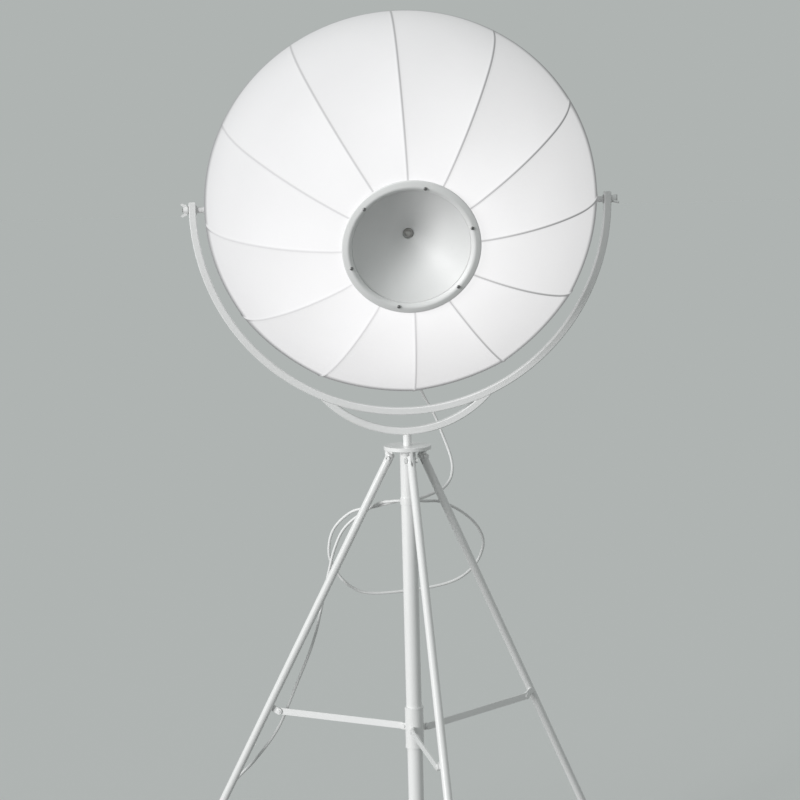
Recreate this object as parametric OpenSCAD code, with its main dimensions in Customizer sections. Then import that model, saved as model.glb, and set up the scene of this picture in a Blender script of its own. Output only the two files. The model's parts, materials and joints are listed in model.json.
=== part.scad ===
// Tripod floor lamp: a ribbed fabric shade on a yoke that turns and tilts, over three folding legs.
// Millimetres. Z is up, the floor is z = 0 and the column stands on the Z axis. The shade looks to -Y.

/* [Stand] */
// Height of the leg hinges above the floor
hinge_h = 980; // [930:5:1030]
// Radius of the circle that the leg hinges lie on
hinge_r = 40; // [36:1:46]
// Angle of each open leg from the vertical
leg_tilt = 28; // [25:0.5:31]
// Turn of the tripod about the column, from a leg straight below the shade
tripod_turn = 5.3; // [-30:0.1:30]
// Outer diameter of a leg tube
leg_d = 17; // [16:0.5:19]
// Outer diameter of the column tube
column_d = 32; // [30:1:34]
// Diameter of the round plate on the column
plate_d = 96; // [90:1:104]
// Height of the column's lower end above the floor
column_foot_h = 40; // [36:1:44]

/* [Spreaders] */
// Distance from a leg's hinge down to its spreader joint, along the leg
joint_along = 611; // [560:1:640]
// Distance of the spreader joint from the leg's axis, on the column's side
joint_off = 22; // [20:0.5:26]
// Height of the runner's pins above the floor, with the legs open
runner_h = 420; // [400:1:430]
// Radius of the circle that the runner's pins lie on
runner_pin_r = 28; // [26:0.5:32]
// Length of the runner on the column
runner_len = 85; // [70:1:95]
// Width of a flat spreader bar
bar_w = 14; // [12:0.5:15]

/* [Yoke] */
// Height of the tilt pivots above the floor
head_h = 1490; // [1470:5:1540]
// Outer radius of the half-round yoke
yoke_r = 421; // [418:1:430]
// Thickness of the yoke's bar, along its radius
yoke_t = 14; // [12:0.5:15]
// Width of the yoke's bar, front to back
yoke_w = 20; // [16:1:24]
// Depth of the lower bow below the yoke
bow_drop = 40; // [36:1:48]
// Half of the distance between the lower bow's two ends
bow_half = 148; // [135:1:180]
// Diameter of the swivel stem
stem_d = 17; // [15:0.5:20]

/* [Shade] */
// Angle that the shade looks down by, at rest
head_tilt = 18; // [0:0.5:30]
// Radius of the fabric over the rim hoop
rim_r = 390; // [384:1:391]
// Radius of the shade's curve next to the rim
shoulder_r = 185; // [170:1:200]
// Angle that the shoulder curve spans
shoulder_a = 45; // [40:1:50]
// Radius of the shade's flatter curve, on to the hub
crown_r = 400; // [380:1:430]
// Inward pull of the fabric halfway between two ribs
gore_pull = 7; // [0:0.5:9]
// Turn of the ribs about the shade's axis
rib_turn = 3; // [-5:0.1:6]
// Outer radius of the ring on the hub
hub_r = 132; // [128:0.5:136]
// Inner radius of the ring on the hub
hub_open_r = 113; // [110:0.5:114]
// Depth of the cone behind the hub ring
cone_depth = 82; // [70:1:88]
// Turn of the hub's screws about the shade's axis
screw_turn = 18; // [0:1:59]

/* [Hidden] */
$fn = 64;

// Running clearance of a pin or shaft, on the radius, and the gap left between moving faces
run = 0.05;
gap = 0.25;

// Leg azimuths: front, right, left
leg_turns = [tripod_turn, tripod_turn + 120, tripod_turn - 120];
leg_wall = 1.5;
leg_end = (hinge_h - 20) / cos(leg_tilt);
leg_top = 9;
bolt_r = 3;
fork_half = 2.2;
lug_half = 2;

column_wall = 2;
plate_t = 8;
plate_top = hinge_h + 26;
plate_low = plate_top - plate_t;

// Spreader plane: the bars pass beside the legs, on the -X side of each leg's own plane
lug_t = [-8.6, -5.6];
bar_t = [-12.1, -9.1];
joint_r = hinge_r + joint_along * sin(leg_tilt) - joint_off * cos(leg_tilt);
joint_h = hinge_h - joint_along * cos(leg_tilt) - joint_off * sin(leg_tilt);
bar_len = norm([joint_r - runner_pin_r, joint_h - runner_h]);
bar_rise = atan2(joint_h - runner_h, joint_r - runner_pin_r);
runner_r = 19;

yoke_in = yoke_r - yoke_t;
yoke_mid = yoke_r - yoke_t / 2;
tab_h = 15.5;
stud_r = 4;
// The lower bow's middle line passes through its lowest point and its two ends
bow_low = -yoke_r - bow_drop + yoke_t / 2;
bow_end = -sqrt(pow(yoke_r + 4, 2) - pow(bow_half, 2));
bow_sag = bow_end - bow_low;
bow_r = (pow(bow_half, 2) + pow(bow_sag, 2)) / (2 * bow_sag);
bow_z = head_h + bow_low + bow_r;
stem_top = head_h + bow_low - yoke_t / 2;
stem_foot = plate_top - 61;
bush_len = 55;
groove_h = plate_low - 13;
groove_r = stem_d / 2 - 1.5;

// The shade's section: a shoulder arc from the rim, then a crown arc to the hub
shoulder_c = [rim_r - shoulder_r, 0];
crown_c = shoulder_c - (crown_r - shoulder_r) * [cos(shoulder_a), sin(shoulder_a)];
crown_a = acos((hub_r - crown_c[0]) / crown_r);
dome_h = crown_c[1] + crown_r * sin(crown_a);
cloth_t = 1.5;
hem_r = 383;
hem_z = -6.3;
hoop_r = 385;
hoop_wire = 4;
rib_r = 2;
rib_in = 3;
boss_r = 6;
boss_end = yoke_in - 1.8;
clamp_r = [114, 130];
clamp_z = [dome_h - 4.7, dome_h + 1.3];
flange_z = clamp_z[1];
sheet_t = 1.2;
ring_low = flange_z + cloth_t + 0.2;
ring_t = 8;
ring_wall = 2;
screw_r = 119.5;
tip_z = dome_h - cone_depth;
tip_r = 11;
tip_h = 8;
nipple_r = 5;
holder_top = tip_z - 2;

// Mains lead: it runs inside the hoop, leaves the shade straight back and bends down to the yoke's radius
cord_r = 3;
exit_turn = -84.5;
exit_r = 374;
sleeve_z = [10, -24];
tail_bend = 31.5;
tail_sweep = 82;
seam_gap = 0.3;

// The cord's free stretches, as points that it passes through
drop_route = [[42, 186, 1106], [52, 192, 1082], [67, 194, 1054]];
drop_end = [82, 190, 1020];
drop_dir = [0.3, -0.17, -0.94];
loop_route = [
  [104, 173, 954], [103, 152, 918], [84, 123, 897], [56, 86, 891], [31, 50, 889], [12, 31.5, 889.2],
  [-12, 30, 889.2], [-34, 41, 883], [-68, 67, 871], [-113, 90, 858], [-151, 106, 819], [-161, 112, 769],
  [-146, 116, 728], [-115, 118, 694], [-71, 119, 679], [31, 122, 684], [103, 128, 698],
  [145, 131, 728], [164, 127, 772], [152, 116, 812], [118, 98, 848], [72, 70, 876], [34, 40, 884],
  [12, 23.5, 889.2], [-12, 22, 889.2], [-32, 31, 887.5], [-65, 56, 877], [-122, 88, 832],
  [-148, 98, 785], [-167, 108, 713], [-196, 122, 590], [-238, 144, 481], [-279, 163, 385],
  [-330, 188, 311], [-380, 204, 255], [-410, 218, 189], [-424, 232, 99], [-425, 243, 44], [-421, 270, 9]
];
coil_centre = [-452, 330];
coil_start_turn = 0;

// The coil: it winds in on the floor, climbs one layer and winds out again
coil_out = 36;
coil_pitch = 6.5;
coil_layers = [cord_r, cord_r + 6.6];
coil_back = 630;
coil_climb = [540, 720];
coil_turned = 1440;
coil_leave = 4;
coil_leave_turn = 105;
coil_rings = 24;
plug_h = 14.6;

// Shared shapes and functions

module at_leg(turn) {
  rotate([0, 0, turn]) translate([0, -hinge_r, hinge_h]) rotate([-leg_tilt, 0, 0]) children();
}

module at_head() {
  translate([0, 0, head_h]) rotate([90 + head_tilt, 0, 0]) children();
}

// A cylinder along X, between two places
module across(r, x) {
  translate([x[0], 0, 0]) rotate([0, 90, 0]) cylinder(r = r, h = x[1] - x[0]);
}

module hex_across(flats, x) {
  translate([x[0], 0, 0]) rotate([0, 90, 0]) cylinder(d = flats / cos(30), h = x[1] - x[0], $fn = 6);
}

module tube(r, wall, z) {
  translate([0, 0, z[0]]) difference() {
    cylinder(r = r, h = z[1] - z[0]);
    translate([0, 0, -1]) cylinder(r = r - wall, h = z[1] - z[0] + 2);
  }
}

// A plate that is square at the origin and round about the point at, in the plane across X
module round_plate(x, at, half) {
  translate([x[0], 0, 0]) rotate([90, 0, 90]) linear_extrude(x[1] - x[0]) union() {
    translate([min(0, at), -half]) square([abs(at), 2 * half]);
    translate([at, 0]) circle(half);
  }
}

// The yoke's bar, with broken edges
module bar_section() {
  a = yoke_t / 2;
  b = yoke_w / 2;
  c = 1.5;
  polygon([[-a + c, -b], [a - c, -b], [a, -b + c], [a, b - c], [a - c, b], [-a + c, b], [-a, b - c],
    [-a, -b + c]]);
}

function unit(v) = v / norm(v);

// Passes a smooth curve through the points, with given directions at its two ends
function smooth(p, first, last, k) =
  let (
    n = len(p) - 1,
    q = concat([p[1] - 2 * norm(p[1] - p[0]) * first], p, [p[n - 1] + 2 * norm(p[n] - p[n - 1]) * last])
  )
  concat(
    [for (i = [1:n]) for (j = [0:k - 1]) let (t = j / k) 0.5 * (2 * q[i] + (q[i + 1] - q[i - 1]) * t
      + (2 * q[i - 1] - 5 * q[i] + 4 * q[i + 1] - q[i + 2]) * t * t
      + (3 * q[i] - q[i - 1] - 3 * q[i + 1] + q[i + 2]) * t * t * t)],
    [p[n]]
  );
function heading(p, i, first, last) =
  i == 0 ? first : i == len(p) - 1 ? last : unit(p[i + 1] - p[i - 1]);
function square_to(n, t) = unit(n - (n * t) * t);
function sides(t, n0) = [
  for (i = 0, n = square_to(n0, t[0]); i < len(t); i = i + 1, n = i < len(t) ? square_to(n, t[i]) : n) n
];
function travel(p, i = 0) = i >= len(p) - 1 ? 0 : norm(p[i + 1] - p[i]) + travel(p, i + 1);

// One unbroken round tube along the points
module swept(p, first, last, r, around) {
  t = [for (i = [0:len(p) - 1]) heading(p, i, first, last)];
  n = sides(t, [0.3, 0.2, 1]);
  m = len(p);
  points = [for (i = [0:m - 1]) for (j = [0:around - 1])
    p[i] + r * (cos(j * 360 / around) * n[i] + sin(j * 360 / around) * cross(t[i], n[i]))];
  walls = [for (i = [0:m - 2]) for (j = [0:around - 1]) for (half = [0:1])
    let (a = i * around + j, b = i * around + (j + 1) % around)
    half == 0 ? [a, b, b + around] : [a, b + around, a + around]];
  polyhedron(points, concat(walls, [[for (j = [0:around - 1]) around - 1 - j]],
    [[for (j = [0:around - 1]) (m - 1) * around + j]]));
}

// The stand

module column_tube() {
  color("gainsboro") difference() {
    tube(column_d / 2, column_wall, [column_foot_h, plate_low]);
    translate([0, -column_d / 2, groove_h]) rotate([90, 0, 0]) cylinder(r = 2.6, h = 12, center = true);
  }
}

module top_plate() {
  color("white") difference() {
    union() {
      translate([0, 0, plate_low]) rotate_extrude($fn = 96) polygon([[0, 0], [plate_d / 2 - 0.8, 0],
        [plate_d / 2, 0.8], [plate_d / 2, plate_t - 0.8], [plate_d / 2 - 0.8, plate_t], [0, plate_t]]);
      for (turn = leg_turns) rotate([0, 0, turn]) {
        translate([-lug_half, -hinge_r - 8, hinge_h]) cube([2 * lug_half, 16, plate_low - hinge_h + 1]);
        translate([0, -hinge_r, hinge_h]) across(8, [-lug_half, lug_half]);
      }
    }
    translate([0, 0, plate_low - 1]) cylinder(r = stem_d / 2 + run, h = plate_t + 2);
    for (turn = leg_turns) rotate([0, 0, turn]) translate([0, -hinge_r, hinge_h])
      across(bolt_r + 0.02, [-5, 5]);
  }
}

module hinge_bolts() {
  color("silver") for (turn = leg_turns) rotate([0, 0, turn]) translate([0, -hinge_r, hinge_h]) difference() {
    union() {
      across(bolt_r, [-14, 9]);
      across(5, [8.7, 12.4]);
    }
    hex_across(4, [10.4, 13]);
  }
}

module hinge_nuts() {
  color("silver") for (turn = leg_turns) rotate([0, 0, turn]) translate([0, -hinge_r, hinge_h])
    difference() {
      hex_across(10, [-13, -8.7]);
      across(bolt_r + 0.02, [-14, -8]);
    }
}

// A cup that the stem stands and turns in
module stem_bush() {
  color("dimgray") difference() {
    translate([0, 0, stem_foot - 3]) cylinder(r = column_d / 2 - column_wall - 0.03, h = bush_len);
    translate([0, 0, stem_foot - 0.1]) cylinder(r = stem_d / 2 + run, h = bush_len);
    translate([0, -column_d / 2, groove_h]) rotate([90, 0, 0]) cylinder(r = 2.55, h = 20, center = true);
  }
}

// Its point stands in the stem's groove, which keeps the stem down and lets it turn
module set_screw() {
  color("silver") translate([0, -groove_r - 0.3, groove_h]) rotate([90, 0, 0]) difference() {
    cylinder(r = 2.5, h = 8.5);
    translate([0, 0, 6.5]) cylinder(d = 2.9, h = 3, $fn = 6);
  }
}

module column_cap() {
  color("dimgray") {
    translate([0, 0, column_foot_h - 4]) cylinder(r1 = column_d / 2 - 1, r2 = column_d / 2, h = 1);
    translate([0, 0, column_foot_h - 3]) cylinder(r = column_d / 2, h = 3);
    translate([0, 0, column_foot_h]) cylinder(r = column_d / 2 - column_wall - 0.03, h = 14);
  }
}

// A sprung band with a trough behind it, where the slack cord hangs
module cord_hook() {
  z = [886, 900];
  x = 7;
  color("white") {
    tube(column_d / 2 + 1.6, 1.57, z);
    difference() {
      translate([-x, 14, z[0] - 3]) cube([2 * x, 22, z[1] - z[0]]);
      translate([-x - 1, 13, z[0]]) cube([2 * x + 2, 20.5, z[1] - z[0]]);
      translate([0, 0, z[0] - 4]) cylinder(r = column_d / 2 + 0.6, h = 30);
    }
  }
}

module leg(turn) {
  joint = [0, 0, -joint_along];
  color("white") at_leg(turn) difference() {
    union() {
      translate([0, 0, -leg_end]) cylinder(d = leg_d, h = leg_end + leg_top - 1.5);
      translate([0, 0, leg_top - 1.5]) cylinder(d1 = leg_d, d2 = leg_d - 3, h = 1.5);
      translate(joint) round_plate(lug_t, joint_off, bar_w / 2);
      translate(joint + [0, joint_off, 0]) across(4, [lug_t[1] - 0.5, lug_t[1] + 1.6]);
    }
    translate([0, 0, -leg_end - 1]) cylinder(d = leg_d - 2 * leg_wall, h = leg_end - 20);
    translate([-fork_half, -leg_d, -15]) cube([2 * fork_half, 2 * leg_d, 30]);
    across(bolt_r + run, [-leg_d, leg_d]);
  }
}

// A rubber cap, cut flat where it stands
module foot(turn) {
  color("gray") difference() {
    at_leg(turn) difference() {
      union() {
        translate([0, 0, -leg_end - 34]) cylinder(r = 11.5, h = 60);
        translate([0, 0, -leg_end + 26]) cylinder(r1 = 11.5, r2 = 10.2, h = 3);
      }
      translate([0, 0, -leg_end - 0.05]) cylinder(d = leg_d + 0.06, h = 40);
    }
    translate([0, 0, -50]) cube([2000, 2000, 100], center = true);
  }
}

module runner() {
  low = runner_h - 40;
  color("white") difference() {
    union() {
      translate([0, 0, low]) cylinder(r = runner_r + 0.5, h = 4);
      translate([0, 0, low]) cylinder(r = runner_r, h = runner_len);
      translate([0, 0, low + runner_len - 4]) cylinder(r = runner_r + 0.5, h = 4);
      for (turn = leg_turns) rotate([0, 0, turn]) translate([0, 0, runner_h])
        round_plate(lug_t, -runner_pin_r, bar_w / 2);
    }
    translate([0, 0, low - 1]) cylinder(r = column_d / 2 + run, h = runner_len + 2);
    for (turn = leg_turns) rotate([0, 0, turn]) translate([0, -runner_pin_r, runner_h])
      across(bolt_r + 0.02, [lug_t[0] - 1, lug_t[1] + 1]);
  }
}

module runner_pins() {
  color("silver") for (turn = leg_turns) rotate([0, 0, turn]) translate([0, -runner_pin_r, runner_h]) {
    across(bolt_r, [bar_t[0] - 1, lug_t[1] + 1]);
    across(5, [bar_t[0] - 1.9, bar_t[0] - 0.1]);
    across(4.5, [lug_t[1] + 0.02, lug_t[1] + 1.6]);
  }
}

module spreader(turn) {
  color("white") rotate([0, 0, turn]) translate([0, -runner_pin_r, runner_h]) rotate([-bar_rise, 0, 0])
    difference() {
      union() {
        round_plate(bar_t, -bar_len, bar_w / 2);
        across(bar_w / 2, bar_t);
      }
      across(bolt_r + run, [bar_t[0] - 1, bar_t[1] + 1]);
      translate([0, -bar_len, 0]) across(bolt_r + 0.02, [bar_t[0] - 1, bar_t[1] + 1]);
    }
}

// The rivet at a spreader's outer end, beside the leg's lug
module rivet(turn) {
  color("silver") rotate([0, 0, turn]) translate([0, -joint_r, joint_h]) {
    across(bolt_r, [bar_t[0] - 1, bar_t[1]]);
    across(5, [bar_t[0] - 1.9, bar_t[0] - 0.02]);
  }
}

// The yoke

module stem() {
  color("white") difference() {
    translate([0, 0, stem_foot]) cylinder(d = stem_d, h = stem_top - stem_foot + 3);
    translate([0, 0, bow_z]) rotate([90, 0, 0])
      cylinder(r = bow_r + yoke_t / 2, h = 60, center = true, $fn = 256);
    translate([0, 0, groove_h - 3]) difference() {
      cylinder(r = stem_d, h = 6);
      translate([0, 0, -1]) cylinder(r = groove_r, h = 8);
    }
  }
}

module yoke() {
  color("white") difference() {
    translate([0, 0, head_h]) {
      rotate([90, 0, 0]) rotate_extrude(angle = -180, $fn = 256) translate([yoke_mid, 0]) bar_section();
      for (side = [-1, 1]) translate([side * yoke_mid, 0, 0]) {
        linear_extrude(tab_h - 1.5) bar_section();
        translate([0, 0, tab_h - 1.5]) linear_extrude(1.5) square([yoke_t - 3, yoke_w - 3], center = true);
      }
    }
    translate([0, 0, head_h]) across(stud_r + run, [-yoke_r - 1, yoke_r + 1]);
  }
}

// The lower bow, welded under the yoke
module bow() {
  color("white") difference() {
    translate([0, 0, bow_z]) rotate([90, 0, 0]) rotate([0, 0, -140])
      rotate_extrude(angle = 100, $fn = 256) translate([bow_r, 0]) bar_section();
    translate([0, 0, head_h]) rotate([90, 0, 0])
      cylinder(r = yoke_r, h = yoke_w + 2, center = true, $fn = 256);
  }
}

// The tilt pivots

module pivot_studs() {
  color("silver") at_head() for (side = [-1, 1])
    scale([side, 1, 1]) across(stud_r, [rim_r + 3, yoke_r + 13]);
}

module pivot_washers() {
  color("silver") at_head() for (side = [-1, 1]) scale([side, 1, 1]) difference() {
    union() {
      across(8.5, [boss_end + 0.05, yoke_in - gap]);
      across(8.5, [yoke_r + gap, yoke_r + 1.7]);
    }
    across(stud_r + 0.02, [boss_end - 1, yoke_r + 3]);
  }
}

// Wing nut for the +X end; its wings lie across Z and lean outwards
module wing_nut() {
  x = yoke_r + 1.9;
  difference() {
    union() {
      translate([x, 0, 0]) rotate([0, 90, 0]) cylinder(r1 = 7, r2 = 5.5, h = 9);
      rotate([90, 0, 0]) linear_extrude(3, center = true) for (side = [-1, 1]) union() {
        polygon([[x + 0.6, side * 3], [x + 7, side * 3], [x + 7.5, side * 6], [x + 13, side * 9.4],
          [x + 10, side * 13.2], [x + 2.6, side * 10]]);
        translate([x + 11.5, side * 11.3]) circle(2.42);
      }
    }
    across(stud_r + run, [x - 1, x + 20]);
  }
}

module wing_nut_left() {
  color("white") at_head() mirror([1, 0, 0]) rotate([90 - head_tilt, 0, 0]) wing_nut();
}

module wing_nut_right() {
  color("white") at_head() rotate([head_tilt, 0, 0]) wing_nut();
}

// The shade's frame

module hoop_wire_ring(extra = 0) {
  rotate_extrude($fn = 256) translate([hoop_r, 0]) circle(hoop_wire + extra, $fn = 32);
}

module rim_hoop() {
  color("gainsboro") at_head() difference() {
    union() {
      hoop_wire_ring();
      for (side = [-1, 1]) scale([side, 1, 1]) across(boss_r, [hoop_r, boss_end]);
    }
    for (side = [-1, 1]) scale([side, 1, 1]) across(stud_r + 0.02, [rim_r + 2.9, boss_end + 1]);
  }
}

// Each rib is a bent rod a little inside the cloth, from the top of the hoop to the clamp ring's outside
rib_start = asin((hoop_wire + 0.06) / (shoulder_r - rib_in));
rib_end = acos((clamp_r[1] + 0.6 - crown_c[0]) / (crown_r - rib_in));
rib_line = concat(
  [for (i = [0:7]) let (a = rib_start + (shoulder_a - rib_start) * i / 8)
    shoulder_c + (shoulder_r - rib_in) * [cos(a), sin(a)]],
  [for (i = [0:9]) let (a = shoulder_a + (rib_end - shoulder_a) * i / 9)
    crown_c + (crown_r - rib_in) * [cos(a), sin(a)]]
);
module rib(k) {
  turn = rib_turn + 30 * k;
  out = [cos(turn), sin(turn), 0];
  path = [for (p = rib_line) p[0] * out + [0, 0, p[1]]];
  first = -sin(rib_start) * out + [0, 0, cos(rib_start)];
  last = -sin(rib_end) * out + [0, 0, cos(rib_end)];
  color("silver") at_head() swept(path, first, last, rib_r, 8);
}

module screw_holes(r) {
  for (k = [0:5]) rotate([0, 0, screw_turn + 60 * k]) translate([screw_r, 0, 0])
    cylinder(r = r, h = 400, $fn = 24);
}

module clamp_ring() {
  color("silver") at_head() difference() {
    translate([0, 0, clamp_z[0]]) cylinder(r = clamp_r[1], h = clamp_z[1] - clamp_z[0], $fn = 128);
    translate([0, 0, clamp_z[0] - 1]) cylinder(r = clamp_r[0], h = 20, $fn = 128);
    screw_holes(1.9);
  }
}

// A pressed ring, open behind: a flat face with rounded edges, seen round the cone
module ring_section(inset, edge) {
  r = [hub_open_r + inset, hub_r - inset];
  h = ring_t - inset;
  translate([r[0], 0]) square([r[1] - r[0], h - edge]);
  translate([r[0] + edge, 0]) square([r[1] - r[0] - 2 * edge, h]);
  for (x = [r[0] + edge, r[1] - edge]) translate([x, h - edge]) circle(edge, $fn = 32);
}
module hub_ring() {
  edge = 3.5;
  color("white") at_head() difference() {
    translate([0, 0, ring_low]) rotate_extrude($fn = 128) difference() {
      ring_section(0, edge);
      translate([0, -1]) ring_section(ring_wall, edge - ring_wall);
    }
    screw_holes(1.9);
  }
}

module hub_screws() {
  top = ring_low + ring_t;
  color("dimgray") at_head() for (k = [0:5]) rotate([0, 0, screw_turn + 60 * k]) translate([screw_r, 0, 0])
    difference() {
      union() {
        translate([0, 0, clamp_z[0] - 2]) cylinder(r = 1.85, h = top + 1 - clamp_z[0] + 2, $fn = 24);
        translate([0, 0, top + 0.02]) cylinder(r1 = 3.6, r2 = 2.6, h = 2, $fn = 32);
      }
      translate([0, 0, top + 0.4]) cylinder(d = 3.6, h = 2, $fn = 6);
    }
}

// A spun funnel: a flange under the ring, a flaring wall and a flat-bottomed well for its nut
function flare(u) = [tip_r + (hub_open_r - 1.5 - tip_r) * u,
  tip_z + tip_h + (flange_z - tip_z - tip_h) * (0.82 * u + 0.18 * u * u)];
module cone() {
  steps = 8;
  skin = [for (i = [0:steps]) flare(i / steps)];
  color("gainsboro") at_head() difference() {
    rotate_extrude($fn = 128) polygon(concat(
      [[nipple_r + 0.1, tip_z], [tip_r + sheet_t, tip_z]],
      [for (p = skin) p + [sheet_t, 0.0]],
      [[hub_open_r + 12.5, flange_z], [hub_open_r + 12.5, flange_z + sheet_t]],
      [for (i = [steps:-1:0]) skin[i] + [0, sheet_t]],
      [[tip_r, tip_z + sheet_t], [nipple_r + 0.1, tip_z + sheet_t]]
    ));
    translate([0, 0, flange_z - 5]) screw_holes(1.9);
  }
}

module cap_nut() {
  color("silver") at_head() translate([0, 0, tip_z + sheet_t + 0.05]) difference() {
    union() {
      cylinder(d = 17 / cos(30), h = 6, $fn = 6);
      translate([0, 0, 6]) cylinder(r1 = 7.6, r2 = 4, h = 4, $fn = 32);
    }
    translate([0, 0, -1]) cylinder(r = nipple_r + 0.02, h = 8);
  }
}

module lamp_nipple() {
  color("silver") at_head() translate([0, 0, holder_top - 10])
    cylinder(r = nipple_r, h = tip_z - holder_top + 17);
}

module lamp_holder() {
  color("whitesmoke") at_head() difference() {
    rotate_extrude($fn = 96) polygon([
      [0, holder_top], [12, holder_top], [13.5, holder_top - 1.5], [13.5, holder_top - 18],
      [19, holder_top - 24], [19, holder_top - 54], [17.8, holder_top - 56], [13.7, holder_top - 56],
      [13.7, holder_top - 26], [0, holder_top - 26]
    ]);
    translate([0, 0, holder_top - 10.05]) cylinder(r = nipple_r + 0.02, h = 12);
  }
}

module bulb() {
  neck = holder_top - 58;
  globe = holder_top - 98;
  globe_r = 30;
  color("lightyellow") at_head() rotate_extrude($fn = 64) union() {
    translate([0, neck]) square([13.3, 30]);
    difference() {
      translate([0, globe]) circle(globe_r);
      translate([-2 * globe_r, globe - 2 * globe_r]) square([2 * globe_r, 4 * globe_r]);
    }
    polygon([[0, globe + 18], [24, globe + 18], [17, globe + 30], [14, globe + 40], [0, globe + 40]]);
  }
}

// The fabric

// The cloth's section as a closed loop: hem, shoulder and crown outside, and back inside.
// Each point holds its radius, its height and how far the cloth can be pulled in there.
function cloth_line(off) = concat(
  [for (i = [0:6]) let (a = shoulder_a * i / 6, s = i / 20)
    [shoulder_c[0] + (shoulder_r + off) * cos(a), (shoulder_r + off) * sin(a), sin(180 * s)]],
  [for (i = [1:7]) let (a = shoulder_a + (crown_a - shoulder_a) * i / 7, s = 0.3 + 0.7 * i / 7)
    [crown_c[0] + (crown_r + off) * cos(a), crown_c[1] + (crown_r + off) * sin(a), sin(180 * s)]]
);
function cloth_loop() = let (
  o = cloth_line(cloth_t), i = cloth_line(0), n = len(i), held = [clamp_r[1] - 3.5, clamp_r[1] + 0.5],
  z = clamp_z[1] + 0.1
) concat(
  [[hem_r, hem_z, 0], [rim_r + cloth_t, hem_z, 0]],
  o,
  [[held[1], z + cloth_t, 0], [held[0], z + cloth_t, 0], [held[0], z, 0], [held[1], z, 0]],
  [for (k = [0:n - 1]) i[n - 1 - k]],
  [[rim_r, hem_z + cloth_t, 0], [hem_r, hem_z + cloth_t, 0]]
);

module shade_cover() {
  gores = 12;
  around = 4 * gores;
  loop = cloth_loop();
  m = len(loop);
  points = [for (k = [0:around - 1]) for (p = loop) let (
      turn = rib_turn + k * 360 / around,
      pull = gore_pull * p[2] * (1 - cos(gores * (turn - rib_turn))) / 2
    )
    [(p[0] - 0.6 * pull) * cos(turn), (p[0] - 0.6 * pull) * sin(turn), p[1] - 0.8 * pull]];
  faces = [for (k = [0:around - 1]) for (j = [0:m - 1]) for (half = [0:1])
    let (a = k * m + j, b = k * m + (j + 1) % m, c = ((k + 1) % around) * m + j,
      d = ((k + 1) % around) * m + (j + 1) % m)
    half == 0 ? [a, b, d] : [a, d, c]];
  color("ivory") at_head() difference() {
    polyhedron(points, faces);
    for (side = [-1, 1]) scale([side, 1, 1])
      across(boss_r + 0.6, [rim_r - 20, rim_r + 10], $fn = 24);
  }
}

// The mains lead and the cord

// Section of the held lead, as radius and height in the shade: under the cone, along a rib, inside the hoop
lead_line = concat(
  [[13.5, holder_top - 10], [22, holder_top - 9], [42, tip_z + 18], [72, tip_z + 42], [100, dome_h - 19],
    [118, dome_h - 16], [140, dome_h - 12]],
  [for (a = [66, 57, 48]) crown_c + (crown_r - 11) * [cos(a), sin(a)]],
  [for (a = [40, 30, 20]) shoulder_c + (shoulder_r - 14) * [cos(a), sin(a)]],
  [[exit_r - 1, 32], [exit_r, sleeve_z[0]]]
);
// Its last stretch, beyond the sleeve
tail_line = [for (i = [0:6]) let (a = tail_sweep * i / 6)
  [exit_r + tail_bend * (1 - cos(a)), sleeve_z[1] - seam_gap - tail_bend * sin(a)]];
function at_exit(line) = [for (p = line) [p[0] * cos(exit_turn), p[0] * sin(exit_turn), p[1]]];
exit_out = [cos(exit_turn), sin(exit_turn), 0];
exit_back = [0, 0, -1];
tail_dir = sin(tail_sweep) * exit_out + cos(tail_sweep) * exit_back;
module lead() {
  color("white") at_head()
    swept(smooth(at_exit(lead_line), exit_out, exit_back, 2), exit_out, exit_back, cord_r, 8);
}

module cord_tail() {
  color("white") at_head() swept(at_exit(tail_line), exit_back, tail_dir, cord_r, 8);
}

// Tapered sleeve that the lead leaves the shade through
module strain_relief() {
  color("white") at_head() rotate([0, 0, exit_turn]) translate([exit_r, 0, sleeve_z[1]])
    cylinder(r1 = 3.6, r2 = 5, h = sleeve_z[0] - sleeve_z[1] - 0.05);
}

// A saddle on the hoop that holds the sleeve
module lead_clip() {
  half = 4;
  color("silver") at_head() difference() {
    rotate([0, 0, exit_turn]) translate([exit_r, 0, 0]) difference() {
      translate([0, 0, -half]) cylinder(r = 8.5, h = 2 * half);
      translate([0, 0, sleeve_z[1]]) cylinder(r1 = 3.65, r2 = 5.05, h = sleeve_z[0] - sleeve_z[1]);
    }
    hoop_wire_ring(0.02);
  }
}

// Where the cord's next stretch starts, a little beyond the tail
function in_room(v) = [v[0], -v[1] * sin(head_tilt) - v[2] * cos(head_tilt),
  v[1] * cos(head_tilt) - v[2] * sin(head_tilt)];
drop_first_dir = in_room(tail_dir);
drop_first = [0, 0, head_h] + in_room(at_exit(tail_line)[6] + seam_gap * tail_dir);
drop_path = smooth(concat([drop_first], drop_route, [drop_end]), drop_first_dir, unit(drop_dir), 3);
module cord_drop() {
  color("white") swept(drop_path, drop_first_dir, unit(drop_dir), cord_r, 8);
}

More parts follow.
